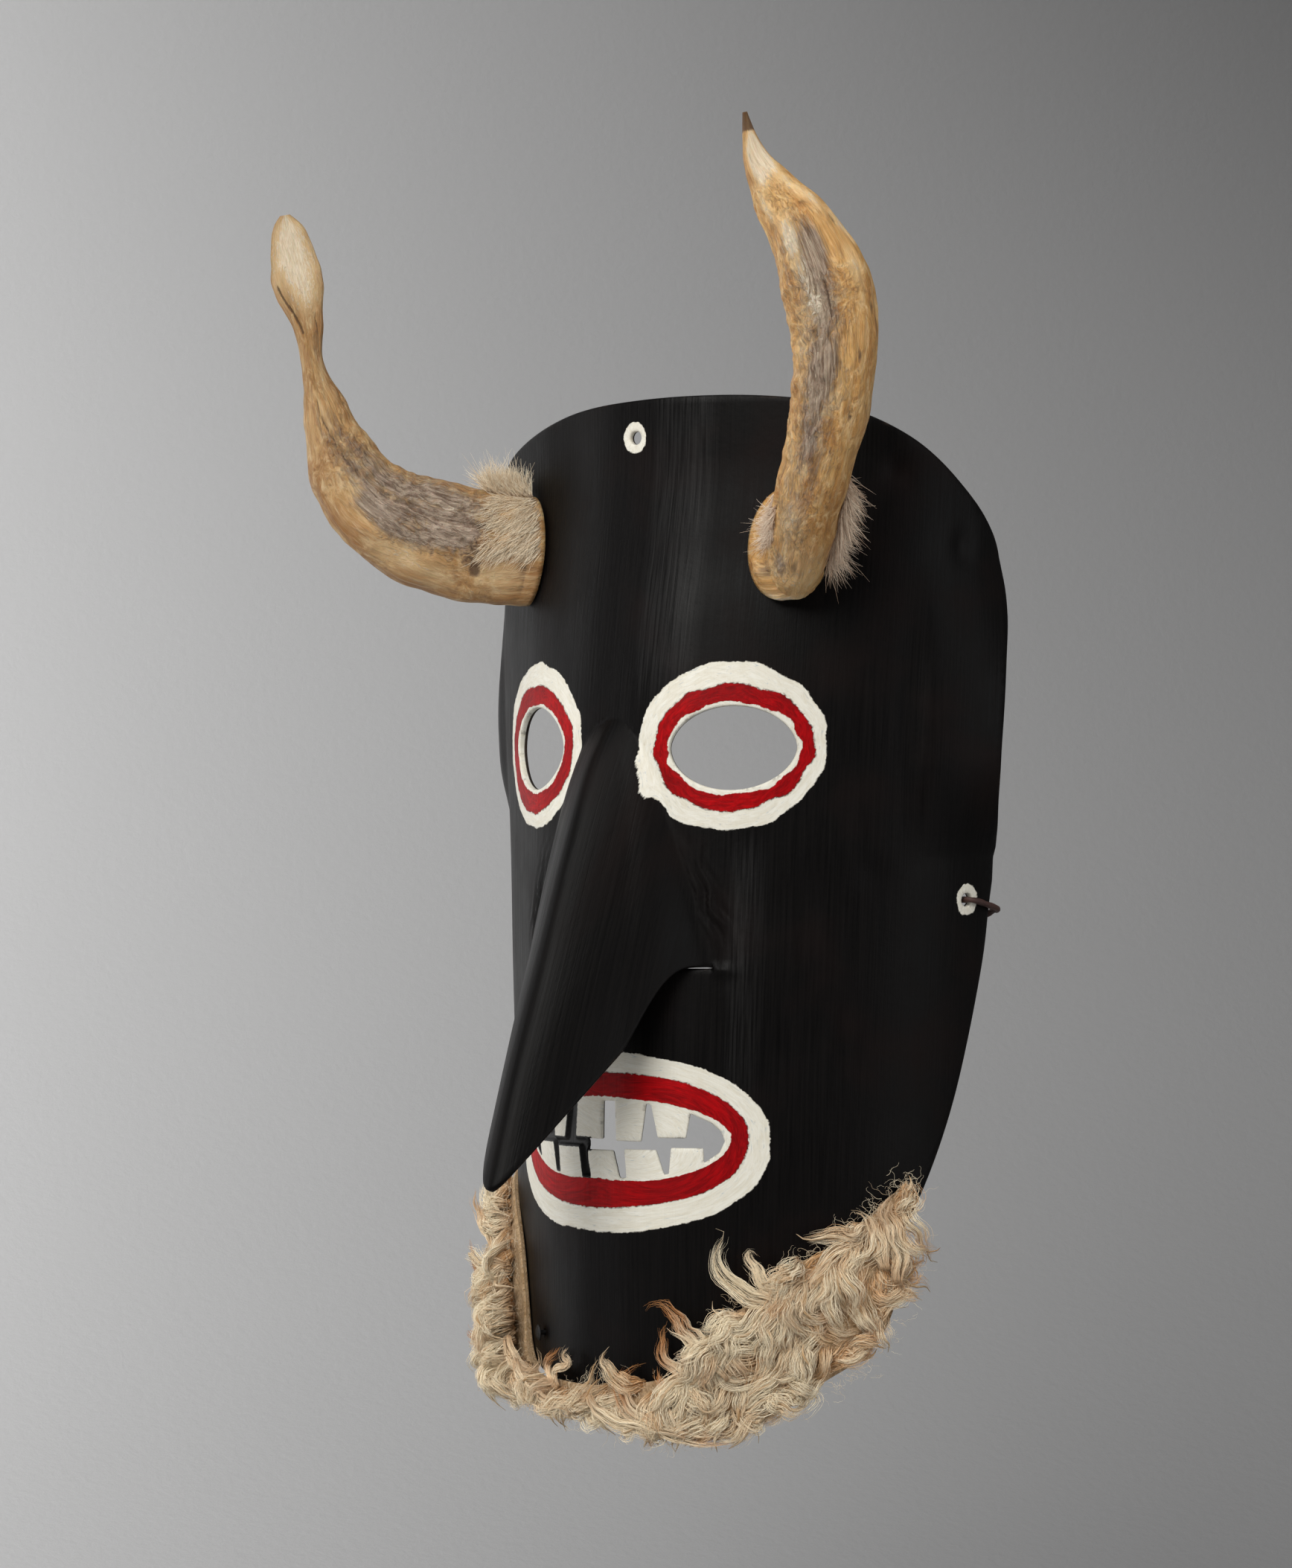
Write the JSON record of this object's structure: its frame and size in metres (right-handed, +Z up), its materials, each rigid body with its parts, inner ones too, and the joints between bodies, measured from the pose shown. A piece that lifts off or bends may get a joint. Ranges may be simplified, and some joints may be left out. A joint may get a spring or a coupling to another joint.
{
  "type": "mexican folk art mask",
  "caption": "Horned folk art wall mask: bent sheet face with drawn-out nose, cut eyes and teeth, rolled rawhide horns, sheepskin beard and a swinging head cord.",
  "frame": {"origin": "hanging point: inner face of the face sheet on its centre line, just above the hanging hole", "axes": "+Z up the mask, +Y from the face towards the wall, +X to the right of a viewer who faces the mask"},
  "size_m": [0.22, 0.1364, 0.3818],
  "materials": {
    "face_sheet": "satin black paint over hardened leather",
    "rawhide": "dry translucent rawhide",
    "horn_hair": "soft hair",
    "nail_steel": "dull",
    "sheepskin_hide": "raw",
    "sheepskin_wool": "curly wool",
    "cord_leather": "worn"
  },
  "bodies": {
    "mask": {"mask_shell": "face_sheet", "horn_left": "rawhide", "horn_right": "rawhide", "horn_left_fur": "horn_hair", "horn_right_fur": "horn_hair", "horn_left_nail_upper": "nail_steel", "horn_left_nail_lower": "nail_steel", "horn_right_nail_upper": "nail_steel", "horn_right_nail_lower": "nail_steel", "beard_hide": "sheepskin_hide", "beard_wool": "sheepskin_wool", "beard_tack_1": "nail_steel", "beard_tack_2": "nail_steel", "beard_tack_3": "nail_steel", "beard_tack_4": "nail_steel", "beard_tack_5": "nail_steel", "beard_tack_6": "nail_steel", "beard_tack_7": "nail_steel"},
    "cord": {"head_cord": "cord_leather", "cord_knot_left": "cord_leather", "cord_knot_right": "cord_leather"}
  },
  "joints": [
    {"name": "cord_swing", "type": "hinge", "parent": "mask", "child": "cord", "pos_m": [0, 0.05088, -0.1395], "axis": [1, 0, 0], "range_deg": [-20, 34]}
  ]
}
